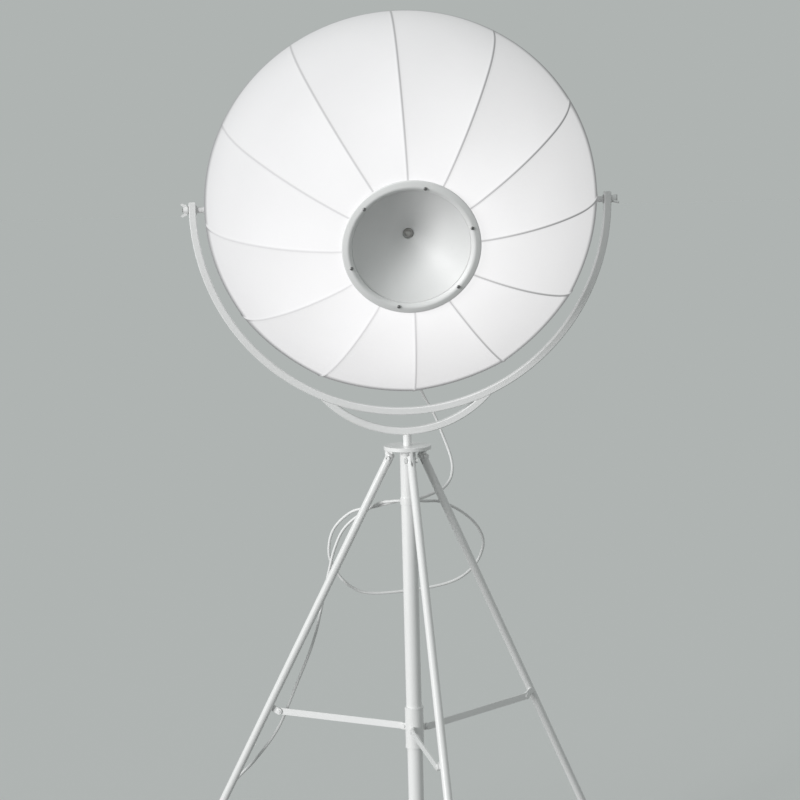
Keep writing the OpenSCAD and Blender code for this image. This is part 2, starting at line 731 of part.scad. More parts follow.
function ease(u) = let (v = min(1, max(0, u))) v * v * (3 - 2 * v);
function coil_radius(a) = coil_out - coil_pitch * (a < coil_back ? a : 2 * coil_back - a) / 360
  + coil_leave * ease((a - coil_turned + coil_leave_turn) / coil_leave_turn);
function coil_height(a) =
  coil_layers[0] + (coil_layers[1] - coil_layers[0])
    * ease((a - coil_climb[0]) / (coil_climb[1] - coil_climb[0]));
function coil_point(a) = [
  coil_centre[0] + coil_radius(a) * cos(coil_start_turn + a),
  coil_centre[1] + coil_radius(a) * sin(coil_start_turn + a),
  coil_height(a)
];
coil_step = 360 / coil_rings;
coil_turn_points = [for (a = [0:coil_step:coil_turned]) coil_point(a)];
coil_in_dir = unit([-sin(coil_start_turn), cos(coil_start_turn), 0]);
coil_out_dir = unit([-sin(coil_start_turn + coil_turned), cos(coil_start_turn + coil_turned), 0]);
coil_first = coil_point(0) - 2 * cord_r * coil_in_dir;
coil_over = coil_turn_points[len(coil_turn_points) - 1];
coil_last = [coil_over[0], coil_over[1], plug_h / 2] + 5 * cord_r * coil_out_dir;
coil_path = concat([coil_first + [0, seam_gap, 0]], coil_turn_points, [coil_last]);

loop_first = drop_end + seam_gap * unit(drop_dir);
loop_path = smooth(concat([loop_first], loop_route, [coil_first]), unit(drop_dir), coil_in_dir, 2);
module cord_loop() {
  color("white") swept(loop_path, unit(drop_dir), coil_in_dir, cord_r, 8);
}

module cord_coil() {
  color("white") swept(coil_path, coil_in_dir, coil_out_dir, cord_r, 6);
}

// A flat two-pin plug lying on the floor
module plug() {
  turn = coil_start_turn + coil_turned + 90;
  color("white") translate(coil_last) rotate([0, 0, turn]) {
    translate([0, 0, -plug_h / 2]) linear_extrude(plug_h)
      polygon([[0, -5], [8, -6], [16, -16.5], [20, -17.6], [35, -17.6], [35, 17.6], [20, 17.6], [16, 16.5],
        [8, 6], [0, 5]]);
    for (side = [-1, 1]) translate([35, 9.5 * side, 0]) rotate([0, 90, 0]) {
      cylinder(r = 2, h = 18);
      translate([0, 0, 18]) cylinder(r1 = 2, r2 = 1, h = 1);
    }
  }
}

// The coil's least gap to itself, over points more than a third of a turn apart
coil_gap = min([for (i = [0:len(coil_path) - 1]) for (j = [i + 8:1:len(coil_path) - 1])
  norm(coil_path[j] - coil_path[i]) - 2 * cord_r]);
echo(coil_gap = coil_gap);
echo(cord_length = travel(at_exit(tail_line)) + travel(drop_path) + travel(loop_path) + travel(coil_path));
echo(cord_lengths = [travel(at_exit(tail_line)), travel(drop_path), travel(loop_path), travel(coil_path)]);
echo(dome_h = dome_h, bar_len = bar_len, bar_rise = bar_rise, joint = [joint_r, joint_h]);

column_tube();
top_plate();
hinge_bolts();
hinge_nuts();
stem_bush();
set_screw();
column_cap();
cord_hook();
leg(leg_turns[0]);  // leg_front
leg(leg_turns[1]);  // leg_right
leg(leg_turns[2]);  // leg_left
foot(leg_turns[0]);  // foot_front
foot(leg_turns[1]);  // foot_right
foot(leg_turns[2]);  // foot_left
runner();
runner_pins();
spreader(leg_turns[0]);  // spreader_front
spreader(leg_turns[1]);  // spreader_right
spreader(leg_turns[2]);  // spreader_left
rivet(leg_turns[0]);  // rivet_front
rivet(leg_turns[1]);  // rivet_right
rivet(leg_turns[2]);  // rivet_left
stem();
bow();
yoke();
pivot_studs();
pivot_washers();
wing_nut_left();
wing_nut_right();
rim_hoop();
for (k = [1:12]) rib(k);
clamp_ring();
hub_ring();
hub_screws();
cone();
cap_nut();
lamp_nipple();
lamp_holder();
bulb();
shade_cover();
lead();
lead_clip();
strain_relief();
cord_tail();
cord_drop();
cord_loop();
cord_coil();
plug();
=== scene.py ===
import json
import math

import bmesh
import bpy
from mathutils import Matrix, Vector


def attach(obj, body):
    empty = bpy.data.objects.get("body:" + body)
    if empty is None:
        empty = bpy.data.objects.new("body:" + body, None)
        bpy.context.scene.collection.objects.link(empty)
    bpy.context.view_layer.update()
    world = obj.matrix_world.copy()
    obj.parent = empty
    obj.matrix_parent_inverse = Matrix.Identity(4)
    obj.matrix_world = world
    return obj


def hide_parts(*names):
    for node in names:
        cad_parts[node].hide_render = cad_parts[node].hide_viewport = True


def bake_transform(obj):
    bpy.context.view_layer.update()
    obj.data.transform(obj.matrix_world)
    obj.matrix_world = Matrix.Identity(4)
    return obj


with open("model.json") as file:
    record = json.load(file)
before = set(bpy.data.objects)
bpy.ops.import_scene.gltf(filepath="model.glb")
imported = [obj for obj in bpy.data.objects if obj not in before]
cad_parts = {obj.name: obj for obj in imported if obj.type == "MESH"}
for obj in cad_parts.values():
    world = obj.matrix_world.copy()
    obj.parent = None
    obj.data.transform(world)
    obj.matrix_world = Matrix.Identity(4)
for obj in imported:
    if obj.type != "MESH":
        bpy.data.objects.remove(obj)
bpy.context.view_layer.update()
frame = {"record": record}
print("frame loaded")

# Lengths are in metres and angles in degrees, but for the cord's routes, which are in millimetres.
# The shade's curves are those of the part's source.
shade = {
    "pivotHeight": 1.490,
    "lookDown": 18,
    "rimRadius": 0.390,
    "shoulderRadius": 0.185,
    "shoulderAngle": 45,
    "crownRadius": 0.400,
    "hubRadius": 0.132,
    "ribTurn": 3,
    "gores": 12,
}
cordRadius = 0.003

headMatrix = Matrix.Translation((0, 0, shade["pivotHeight"])) @ Matrix.Rotation(
    math.radians(90 + shade["lookDown"]), 4, "X"
)
headTurn = headMatrix.to_3x3()


def around(radius, degrees):
    turn = math.radians(degrees)
    return Vector((radius * math.cos(turn), radius * math.sin(turn)))


shoulderCentre = Vector((shade["rimRadius"] - shade["shoulderRadius"], 0))
crownInset = around(shade["crownRadius"] - shade["shoulderRadius"], shade["shoulderAngle"])
crownCentre = shoulderCentre - crownInset
crownAngle = math.degrees(math.acos((shade["hubRadius"] - crownCentre.x) / shade["crownRadius"]))
domeHeight = (crownCentre + around(shade["crownRadius"], crownAngle)).y

camera = {
    "place": (-0.2998, -3.9867, 1.578),
    "heading": -4.12,
    "downward": 6.84,
    "roll": -1.47,
    "lens": 90,
    "sensor": 36,
}


def placeCamera():
    eye = bpy.data.objects.new("camera", bpy.data.cameras.new("camera"))
    bpy.context.scene.collection.objects.link(eye)
    eye.data.sensor_width = camera["sensor"]
    eye.data.lens = camera["lens"]
    eye.location = camera["place"]
    heading = Matrix.Rotation(math.radians(camera["heading"]), 3, "Z")
    pitch = Matrix.Rotation(math.radians(90 - camera["downward"]), 3, "X")
    roll = Matrix.Rotation(math.radians(camera["roll"]), 3, "Z")
    eye.rotation_euler = (heading @ pitch @ roll).to_euler()
    bpy.context.scene.camera = eye


placeCamera()

# Materials: a small helper that adds nodes, gives them their settings and joins their inputs


class Nodes:
    def __init__(self, tree):
        self.tree = tree

    def join(self, value, socket):
        if isinstance(value, bpy.types.NodeSocket):
            self.tree.links.new(value, socket)
        else:
            socket.default_value = value

    def add(self, kind, inputs=None, **settings):
        node = self.tree.nodes.new(kind)
        for key, value in settings.items():
            setattr(node, key, value)
        for key, value in (inputs or {}).items():
            self.join(value, node.inputs[key])
        return node

    def math(self, operation, *values):
        return self.add("ShaderNodeMath", dict(enumerate(values)), operation=operation).outputs[0]

    def span(self, value, low, high, first=0.0, last=1.0):
        ends = {"Value": value, "From Min": low, "From Max": high, "To Min": first, "To Max": last}
        return self.add("ShaderNodeMapRange", ends).outputs["Result"]

    def noise(self, vector, scale, detail=2.0):
        inputs = {"Vector": vector, "Scale": scale, "Detail": detail}
        return self.add("ShaderNodeTexNoise", inputs).outputs["Fac"]

    def mix(self, factor, first, second):
        inputs = {0: factor, 6: first, 7: second}
        return self.add("ShaderNodeMix", inputs, data_type="RGBA").outputs[2]

    def place(self):
        return self.add("ShaderNodeTexCoord").outputs["Object"]

    def attribute(self, name, output="Fac"):
        return self.add("ShaderNodeAttribute", attribute_name=name).outputs[output]

    def bump(self, height, strength, distance):
        inputs = {"Height": height, "Strength": strength, "Distance": distance}
        return self.add("ShaderNodeBump", inputs).outputs["Normal"]

    def group(self, tree, inputs):
        return self.add("ShaderNodeGroup", inputs, node_tree=tree)


def newMaterial(name):
    material = bpy.data.materials.new(name)
    material.use_nodes = True
    return material, Nodes(material.node_tree), material.node_tree.nodes["Principled BSDF"]


def newGroup(name, inputs, outputs):
    group = bpy.data.node_groups.new(name, "ShaderNodeTree")
    for label, kind in inputs.items():
        group.interface.new_socket(name=label, in_out="INPUT", socket_type="NodeSocket" + kind)
    for label, kind in outputs.items():
        group.interface.new_socket(name=label, in_out="OUTPUT", socket_type="NodeSocket" + kind)
    nodes = Nodes(group)
    return group, nodes, nodes.add("NodeGroupInput").outputs


def grey(value, warmth=0.0):
    return (value * (1 + warmth), value, value * (1 - warmth), 1.0)


skinLook = {
    "driftScale": 9.0,
    "driftDetail": 5.0,
    "driftFrom": 0.42,
    "driftTo": 0.72,
    "speckScale": 170.0,
    "speckDetail": 3.0,
    "speckFrom": 0.62,
    "speckTo": 0.8,
    "mostDirt": 0.12,
    "dirtRoughness": 0.9,
    "grainDetail": 1.5,
    "grainDepth": 0.0002,
    "coatRoughness": 0.12,
}


# Paint or moulded plastic: slow colour drift, dusty specks, and a fine grain in the surface
def makeSkinGroup():
    inputs = {"Color": "Color", "Dirt": "Color", "Roughness": "Float", "Grain": "Float"}
    inputs["Grain Scale"] = "Float"
    outputs = {"Color": "Color", "Roughness": "Float", "Normal": "Vector"}
    group, nodes, given = newGroup("skin", inputs, outputs)
    look = skinLook
    place = nodes.place()
    driftNoise = nodes.noise(place, look["driftScale"], look["driftDetail"])
    drift = nodes.span(driftNoise, look["driftFrom"], look["driftTo"], 0.0, look["mostDirt"])
    speckNoise = nodes.noise(place, look["speckScale"], look["speckDetail"])
    specks = nodes.span(speckNoise, look["speckFrom"], look["speckTo"], 0.0, look["mostDirt"])
    amount = nodes.math("ADD", drift, specks)
    colour = nodes.mix(amount, given["Color"], given["Dirt"])
    rough = nodes.math("MULTIPLY_ADD", amount, look["dirtRoughness"], given["Roughness"])
    grain = nodes.noise(place, given["Grain Scale"], look["grainDetail"])
    normal = nodes.bump(grain, given["Grain"], look["grainDepth"])
    nodes.add("NodeGroupOutput", {"Color": colour, "Roughness": rough, "Normal": normal})
    return group


skinGroup = makeSkinGroup()


def makeSkin(name, colour, dirt, roughness, grain=0.15, grainScale=900.0, coat=0.0):
    material, nodes, shader = newMaterial(name)
    inputs = {"Color": colour, "Dirt": dirt, "Roughness": roughness, "Grain": grain}
    inputs["Grain Scale"] = grainScale
    skin = nodes.group(skinGroup, inputs)
    nodes.join(skin.outputs["Color"], shader.inputs["Base Color"])
    nodes.join(skin.outputs["Roughness"], shader.inputs["Roughness"])
    nodes.join(skin.outputs["Normal"], shader.inputs["Normal"])
    shader.inputs["Coat Weight"].default_value = coat
    shader.inputs["Coat Roughness"].default_value = skinLook["coatRoughness"]
    return material


platedLook = {
    "cloudScale": 60.0,
    "cloudDetail": 4.0,
    "darkFrom": 0.35,
    "roughFrom": 0.3,
    "cloudTo": 0.7,
    "roughMore": 0.15,
    "markScale": 1800.0,
    "markDetail": 1.0,
    "markStrength": 0.2,
    "markDepth": 0.0001,
}


# Plated steel: bare metal with cloudy plating and a very fine grain
def makePlated(name, colour, dark, roughness):
    material, nodes, shader = newMaterial(name)
    look = platedLook
    place = nodes.place()
    cloud = nodes.noise(place, look["cloudScale"], look["cloudDetail"])
    darkness = nodes.span(cloud, look["darkFrom"], look["cloudTo"])
    mostRough = roughness + look["roughMore"]
    rough = nodes.span(cloud, look["roughFrom"], look["cloudTo"], roughness, mostRough)
    marks = nodes.noise(place, look["markScale"], look["markDetail"])
    nodes.join(nodes.mix(darkness, colour, dark), shader.inputs["Base Color"])
    nodes.join(rough, shader.inputs["Roughness"])
    nodes.join(nodes.bump(marks, look["markStrength"], look["markDepth"]), shader.inputs["Normal"])
    shader.inputs["Metallic"].default_value = 1.0
    return material


spunLook = {
    "paint": grey(0.80),
    "dirt": grey(0.6),
    "roughness": 0.46,
    "grain": 0.1,
    "grainScale": 700.0,
    "ringPhase": 4200.0,
    "ringStrength": 0.08,
    "ringDepth": 0.0002,
    "unevenScale": 30.0,
}


# The funnel: satin paint over spun metal, with faint rings from the spinning
def makeSpunPaint():
    material, nodes, shader = newMaterial("spunPaint")
    look = spunLook
    inputs = {"Color": look["paint"], "Dirt": look["dirt"], "Roughness": look["roughness"]}
    inputs.update({"Grain": look["grain"], "Grain Scale": look["grainScale"]})
    skin = nodes.group(skinGroup, inputs)
    phase = nodes.math("MULTIPLY", nodes.attribute("spinRadius"), look["ringPhase"])
    wave = nodes.math("SINE", phase)
    uneven = nodes.noise(nodes.place(), look["unevenScale"])
    rings = nodes.add(
        "ShaderNodeBump",
        {
            "Height": nodes.math("MULTIPLY", wave, uneven),
            "Strength": look["ringStrength"],
            "Distance": look["ringDepth"],
            "Normal": skin.outputs["Normal"],
        },
    )
    nodes.join(skin.outputs["Color"], shader.inputs["Base Color"])
    nodes.join(skin.outputs["Roughness"], shader.inputs["Roughness"])
    nodes.join(rings.outputs["Normal"], shader.inputs["Normal"])
    return material


clothLook = {
    "plain": (0.38, 0.38, 0.388, 1),
    # shaded is the colour of the painted shade; the limb entries set the painted shade at a slant
    "shaded": (0.20, 0.20, 0.21, 1),
    "light": (1.0, 0.99, 0.995, 1),
    "roughness": 0.85,
    "sheen": 0.1,
    "seamFrom": 0.0007,
    "seamTo": 0.0030,
    "limbFrom": 0.74,
    "limbTo": 0.86,
    "limbShade": 0.72,
    "thread": 0.0009,
    "weaveShare": 0.5,
    "slubStretch": (40.0, 900.0, 1.0),
    "slubLight": 0.01,
    "bumpStrength": 0.25,
    "bumpDepth": 0.0003,
    "driftScale": 7.0,
    "driftDetail": 3.0,
    "drift": 0.008,
    "noiseFrom": 0.3,
    "noiseTo": 0.7,
    "stitchFrom": 0.0042,
    "stitchHalf": 0.00035,
    "stitchesPerMetre": 320.0,
    "stitchGap": 0.35,
    "stitchTint": 0.12,
    "stitchColour": grey(0.4),
}


# The lit cloth: a painted glow stands for the light that comes through it. Painted shade darkens its
# colour and dims the glow where a rib or a seam lies behind, on the hem round the hoop, and at a slant
def makeLitCloth():
    material, nodes, shader = newMaterial("litCloth")
    look = clothLook
    place = nodes.attribute("clothPlace", "Vector")
    ribDistance = nodes.attribute("ribDistance")
    seam = nodes.span(ribDistance, look["seamFrom"], look["seamTo"], 1.0, 0.0)
    # Painted shadow of the rib along its line on the cloth
    ribShadow = nodes.math("MULTIPLY", seam, nodes.attribute("ribShade"))
    facing = nodes.add("ShaderNodeLayerWeight", {"Blend": 0.5}).outputs["Facing"]
    # Painted shade where the cloth is seen at a slant, towards its edge
    limb = nodes.span(facing, look["limbFrom"], look["limbTo"], 0.0, look["limbShade"])
    # hem holds the darker of the painted hem shade round the hoop and the painted slant shade
    hem = nodes.math("MAXIMUM", nodes.attribute("hemShade"), limb)
    across, along, _ = nodes.add("ShaderNodeSeparateXYZ", {0: place}).outputs
    thread = 2 * math.pi / look["thread"]
    weft = nodes.math("SINE", nodes.math("MULTIPLY", across, thread))
    warp = nodes.math("SINE", nodes.math("MULTIPLY", along, thread))
    weave = nodes.math("MULTIPLY", weft, warp)
    stretch = {"Vector": place, "Scale": look["slubStretch"]}
    slubs = nodes.noise(nodes.add("ShaderNodeMapping", stretch).outputs[0], 1.0, 2.0)
    height = nodes.math("ADD", nodes.math("MULTIPLY", weave, look["weaveShare"]), slubs)
    low, high = look["noiseFrom"], look["noiseTo"]
    driftNoise = nodes.noise(place, look["driftScale"], look["driftDetail"])
    drift = nodes.span(driftNoise, low, high, -look["drift"], look["drift"])
    stitchRow = nodes.math("COMPARE", ribDistance, look["stitchFrom"], look["stitchHalf"])
    stitchCount = nodes.math("MULTIPLY", along, look["stitchesPerMetre"])
    stitchGap = nodes.math("GREATER_THAN", nodes.math("FRACT", stitchCount), look["stitchGap"])
    stitch = nodes.math("MULTIPLY", stitchRow, stitchGap)
    # Painted shade: the colour goes towards the shaded grey and the glow dims under a rib's painted
    # shadow, the hem and the slant
    paintedShade = nodes.math("MAXIMUM", ribShadow, hem)
    colour = nodes.mix(paintedShade, look["plain"], look["shaded"])
    stitched = nodes.math("MULTIPLY", stitch, look["stitchTint"])
    colour = nodes.mix(stitched, colour, look["stitchColour"])
    dim = nodes.math("SUBTRACT", 1.0, paintedShade)
    light = nodes.math("ADD", nodes.attribute("clothGlow"), drift)
    slubLight = nodes.span(slubs, low, high, 1 - look["slubLight"], 1 + look["slubLight"])
    strength = nodes.math("MULTIPLY", light, nodes.math("MULTIPLY", dim, slubLight))
    normal = nodes.bump(height, look["bumpStrength"], look["bumpDepth"])
    nodes.join(colour, shader.inputs["Base Color"])
    nodes.join(strength, shader.inputs["Emission Strength"])
    nodes.join(normal, shader.inputs["Normal"])
    shader.inputs["Emission Color"].default_value = look["light"]
    shader.inputs["Roughness"].default_value = look["roughness"]
    shader.inputs["Sheen Weight"].default_value = look["sheen"]
    return material


bulbLook = {
    "glass": grey(0.9),
    "warmGlass": (1.0, 0.97, 0.9, 1),
    "light": (1.0, 0.93, 0.82, 1),
    "dimmest": 3.6,
    "brightest": 4.4,
    "cloudScale": 25.0,
    "roughness": 0.2,
}


# The bulb: opal glass that glows, slightly cloudy
def makeOpalGlass():
    material, nodes, shader = newMaterial("opalGlass")
    look = bulbLook
    cloud = nodes.noise(nodes.place(), look["cloudScale"])
    strength = nodes.span(cloud, 0.3, 0.7, look["dimmest"], look["brightest"])
    nodes.join(strength, shader.inputs["Emission Strength"])
    nodes.join(nodes.mix(cloud, look["glass"], look["warmGlass"]), shader.inputs["Base Color"])
    shader.inputs["Emission Color"].default_value = look["light"]
    shader.inputs["Roughness"].default_value = look["roughness"]
    return material


paints = {
    "frame_paint": makeSkin("framePaint", grey(0.84), grey(0.62, 0.03), 0.30, coat=0.6),
    "column_paint": makeSkin("columnPaint", grey(0.85), grey(0.63, 0.03), 0.3, coat=0.5),
    "ring_paint": makeSkin("ringPaint", grey(0.86), grey(0.66), 0.42),
    "rib_paint": makeSkin("ribPaint", grey(0.7), grey(0.5), 0.4),
    "cone_paint": makeSpunPaint(),
    "zinc": makePlated("zincPlate", grey(0.62), grey(0.4, 0.04), 0.32),
    "dark_steel": makePlated("darkSteel", grey(0.3), grey(0.2), 0.25),
    "grey_plastic": makeSkin("greyPlastic", grey(0.2), grey(0.13), 0.55, 0.4, 500.0),
    "bush_plastic": makeSkin("bushPlastic", grey(0.05), grey(0.03), 0.5, 0.4, 500.0),
    "foot_rubber": makeSkin("footRubber", grey(0.22), grey(0.12, 0.05), 0.75, 0.8, 350.0),
    "holder_plastic": makeSkin("holderPlastic", grey(0.8), grey(0.6, 0.03), 0.3),
    "bulb_glass": makeOpalGlass(),
    "cloth": makeLitCloth(),
    "cord_pvc": makeSkin("cordSheath", grey(0.80), grey(0.6, 0.02), 0.42, 0.3, 600.0),
    "plug_plastic": makeSkin("plugPlastic", grey(0.74, 0.01), grey(0.52, 0.04), 0.38, 0.3, 600.0),
}
print("materials made")

# Helpers for meshes


def addPiece(name, mesh):
    piece = bpy.data.objects.new(name, mesh)
    bpy.context.scene.collection.objects.link(piece)
    return piece


def makeMesh(name, points, faces):
    mesh = bpy.data.meshes.new(name)
    mesh.from_pydata(points, [], faces)
    mesh.polygons.foreach_set("use_smooth", [True] * len(faces))
    return addPiece(name, mesh)


def meshFrom(name, bm, sharp=40):
    bmesh.ops.recalc_face_normals(bm, faces=bm.faces)
    for edge in bm.edges:
        edge.smooth = edge.calc_face_angle(0) < math.radians(sharp)
    for face in bm.faces:
        face.smooth = True
    mesh = bpy.data.meshes.new(name)
    bm.to_mesh(mesh)
    bm.free()
    return addPiece(name, mesh)


def setFloats(piece, name, values):
    piece.data.attributes.new(name, "FLOAT", "POINT").data.foreach_set("value", values)


def dress(piece, slot, body=None, replaces=()):
    piece.data.materials.append(paints[slot])
    if replaces:
        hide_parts(*replaces)
    if body:
        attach(piece, body)
    return piece


def ease(value):
    value = min(1, max(0, value))
    return value * value * (3 - 2 * value)


# The cord: one curve in two pieces, with the routes of the part's source

cord = {
    "exitTurn": -84.5,
    "exitRadius": 0.374,
    "sleeveStart": 0.010,
    "sleeveEnd": -0.024,
    "tailBend": 0.0315,
    "tailSweep": 82,
    "seamGap": 0.0003,
    "dropRoute": [(42, 186, 1106), (52, 192, 1082), (67, 194, 1054)],
    "dropEnd": Vector((0.082, 0.190, 1.020)),
    "dropDirection": Vector((0.3, -0.17, -0.94)).normalized(),
    "sides": 16,
    "tailSteps": 48,
    "dropSteps": 14,
    "loopSteps": 9,
}
loopRoute = [
    (104, 173, 954), (103, 152, 918), (84, 123, 897), (56, 86, 891), (31, 50, 889), (12, 31.5, 889.2),
    (-12, 30, 889.2), (-34, 41, 883), (-68, 67, 871), (-113, 90, 858), (-151, 106, 819),
    (-161, 112, 769), (-146, 116, 728), (-115, 118, 694), (-71, 119, 679), (31, 122, 684),
    (103, 128, 698), (145, 131, 728), (164, 127, 772), (152, 116, 812), (118, 98, 848),
    (72, 70, 876), (34, 40, 884), (12, 23.5, 889.2), (-12, 22, 889.2), (-32, 31, 887.5),
    (-65, 56, 877), (-122, 88, 832), (-148, 98, 785), (-167, 108, 713), (-196, 122, 590),
    (-238, 144, 481), (-279, 163, 385), (-330, 188, 311), (-380, 204, 255), (-410, 218, 189),
    (-424, 232, 99), (-425, 243, 44), (-421, 270, 9),
]
coil = {
    "centre": (-0.452, 0.330),
    "outer": 0.036,
    "pitch": 0.0065,
    "low": cordRadius,
    "high": cordRadius + 0.0066,
    "back": 630,
    "climb": (540, 720),
    "turned": 1440,
    "steps": 240,
    "leave": 0.004,
    "leaveTurn": 105,
    "plugHeight": 0.0146,
    "plugShares": (0.25, 0.5, 0.75, 1.0),
}


def smoothPath(points, first, last, steps):
    count = len(points) - 1
    before = points[1] - 2 * (points[1] - points[0]).length * first
    after = points[count - 1] + 2 * (points[count] - points[count - 1]).length * last
    full = [before, *points, after]
    path = []
    for i in range(count):
        a, b, c, d = full[i : i + 4]
        for k in range(steps):
            t = k / steps
            bend = (2 * a - 5 * b + 4 * c - d) * t * t + (3 * b - a - 3 * c + d) * t * t * t
            path.append(0.5 * (2 * b + (c - a) * t + bend))
    path.append(points[count].copy())
    return path


def pathLength(path):
    return sum((b - a).length for a, b in zip(path, path[1:]))


# One unbroken round tube along a path, as thick as the cord and closed at both ends
def makeTube(name, path, first, last):
    radius, sides = cordRadius, cord["sides"]
    rings = []
    normal = Vector((0.3, 0.2, 1))
    for i, point in enumerate(path):
        ahead = (path[min(i + 1, len(path) - 1)] - path[max(i - 1, 0)]).normalized()
        if i == 0:
            ahead = first
        if i == len(path) - 1:
            ahead = last
        normal = (normal - normal.dot(ahead) * ahead).normalized()
        side = ahead.cross(normal)
        turns = [2 * math.pi * k / sides for k in range(sides)]
        rings.extend(point + radius * (math.cos(a) * normal + math.sin(a) * side) for a in turns)
    faces = []
    for i in range(len(path) - 1):
        for k in range(sides):
            n = (k + 1) % sides
            low, high = i * sides, (i + 1) * sides
            faces.append((low + k, low + n, high + n, high + k))
    faces.append(tuple(reversed(range(sides))))
    faces.append(tuple(range((len(path) - 1) * sides, len(path) * sides)))
    return makeMesh(name, rings, faces)


def coilPoint(angle):
    leaving = ease((angle - coil["turned"] + coil["leaveTurn"]) / coil["leaveTurn"])
    wound = angle if angle < coil["back"] else 2 * coil["back"] - angle
    spot = around(coil["outer"] - coil["pitch"] * wound / 360 + coil["leave"] * leaving, angle)
    start, end = coil["climb"]
    height = coil["low"] + (coil["high"] - coil["low"]) * ease((angle - start) / (end - start))
    return Vector((coil["centre"][0] + spot.x, coil["centre"][1] + spot.y, height))


def exitPoint(radius, height):
    return around(radius, cord["exitTurn"]).to_3d() + Vector((0, 0, height))


exitOut = exitPoint(1, 0)
exitBack = Vector((0, 0, -1))


def makeUpperCord():
    tail = []
    for i in range(cord["tailSteps"] + 1):
        bend = around(cord["tailBend"], cord["tailSweep"] * i / cord["tailSteps"])
        radius = cord["exitRadius"] + cord["tailBend"] - bend.x
        tail.append(headMatrix @ exitPoint(radius, cord["sleeveEnd"] - cord["seamGap"] - bend.y))
    leaving = around(1, cord["tailSweep"])
    ahead = headTurn @ (leaving.y * exitOut + leaving.x * exitBack)
    first = tail[-1] + cord["seamGap"] * ahead
    points = [first, *(Vector(p) / 1000 for p in cord["dropRoute"]), cord["dropEnd"]]
    path = tail + smoothPath(points, ahead, cord["dropDirection"], cord["dropSteps"])[1:]
    tube = makeTube("cordUpper", path, headTurn @ exitBack, cord["dropDirection"])
    piece = dress(tube, "cord_pvc", replaces=["cord_tail", "cord_drop"])
    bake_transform(piece)
    return piece, path


def makeLowerCord():
    inward = Vector((0, 1, 0))
    first = coilPoint(0) - 2 * cordRadius * inward
    points = [cord["dropEnd"], *(Vector(p) / 1000 for p in loopRoute), first]
    path = smoothPath(points, cord["dropDirection"], inward, cord["loopSteps"])
    path += [coilPoint(coil["turned"] * i / coil["steps"]) for i in range(coil["steps"] + 1)]
    over = path[-1].copy()
    for share in coil["plugShares"]:
        drop = (coil["plugHeight"] / 2 - over.z) * ease(share)
        path.append(over + 5 * cordRadius * share * inward + Vector((0, 0, drop)))
    tube = makeTube("cordLower", path, cord["dropDirection"], inward)
    piece = dress(tube, "cord_pvc", replaces=["cord_loop", "cord_coil"])
    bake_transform(piece)
    return piece, path


upperCord, upperPath = makeUpperCord()
lowerCord, lowerPath = makeLowerCord()
print("cord lengths", round(pathLength(upperPath), 3), round(pathLength(lowerPath), 3))

# The shade's cloth: one sheet, turned round the hoop's wire at its edge and pulled in between the ribs

cloth = {
    "hoopRadius": 0.385,
    "lift": 0.0009,
    "gorePull": 0.007,
    "wrap": 130,
    "shoulderShare": 0.30,
    "pullPower": 1.3,
    "weltHeight": 0.0010,
    "weltWidth": 0.0024,
    "weltRise": 12,
    "weltFall": 25,
    "wrapRows": 8,
    "shoulderRows": 22,
    "crownRows": 32,
    "tucks": ((0.0028, 0.0018), (0.0052, 0.0022)),
    "nearRib": [0.0, 0.0011, 0.0023, 0.0036, 0.0055, 0.0085],
    "betweenRibs": 14,
    # The cloth's painted glow: at the rim, at the hub, and the painted brightening at one side away from
    # the key light
    "glowRim": 0.38,
    "glowHub": 0.715,
    "glowSidePaintedLight": 0.10,
    "glowTurn": 318,
    "glowEvening": 0.2,
    # Painted rib shadow: its strength, how much darker it is at the side towards ribTurn where the key
    # light leaves the seams in shade, and its fading
    "ribShade": 0.45,
    "ribSidePaintedShade": 0.30,
    "ribTurn": 20,
    "ribAtRim": 1.06,
    "ribFade": 0.55,
    "hemShade": 0.72,
    "hemRise": 8,
}


# The cloth's section, from its edge under the hoop to the ring: place, outward direction, share of the way
# and share of the wrap
def clothRows():
    rows = []
    wire = shade["rimRadius"] - cloth["hoopRadius"] + cloth["lift"]
    wrapRows, shoulderRows, crownRows = cloth["wrapRows"], cloth["shoulderRows"], cloth["crownRows"]
    bend, bendShare = shade["shoulderAngle"], cloth["shoulderShare"]
    for i in range(wrapRows + 1):
        out = around(1, -cloth["wrap"] * (1 - i / wrapRows))
        rows.append((Vector((cloth["hoopRadius"], 0)) + wire * out, out, 0.0, 1 - i / wrapRows))
    for i in range(1, shoulderRows + 1):
        out = around(1, bend * i / shoulderRows)
        spot = shoulderCentre + (shade["shoulderRadius"] + cloth["lift"]) * out
        rows.append((spot, out, bendShare * i / shoulderRows, 0.0))
    for i in range(1, crownRows + 1):
        out = around(1, bend + (crownAngle - bend) * i / crownRows)
        spot = crownCentre + (shade["crownRadius"] + cloth["lift"]) * out
        rows.append((spot, out, bendShare + (1 - bendShare) * i / crownRows, 0.0))
    up = Vector((0, 1))
    for inset, height in cloth["tucks"]:
        rows.append((Vector((shade["hubRadius"] - inset, domeHeight + height)), up, 1.0, 0.0))
    return rows


# Places across one gore, closer together beside the two ribs
def goreOffsets(width):
    near, inner = cloth["nearRib"], cloth["betweenRibs"]
    far = near[-1]
    middle = [far + (width - 2 * far) * (i + 1) / (inner + 1) for i in range(inner)]
    return near + middle + [width - d for d in reversed(near[1:])]


# How far the cloth stands off its section: up over a rib, and in between two ribs
def clothRise(share, offset, width):
    distance = min(offset, width - offset)
    pulling = cloth["gorePull"] * math.sin(math.pi * share) ** cloth["pullPower"]
    middle = 1 - (1 - 2 * offset / width) ** 2
    welt = cloth["weltHeight"] * math.exp(-((distance / cloth["weltWidth"]) ** 2))
    held = min(1, share * cloth["weltRise"], (1 - share) * cloth["weltFall"])
    return welt * held - pulling * middle


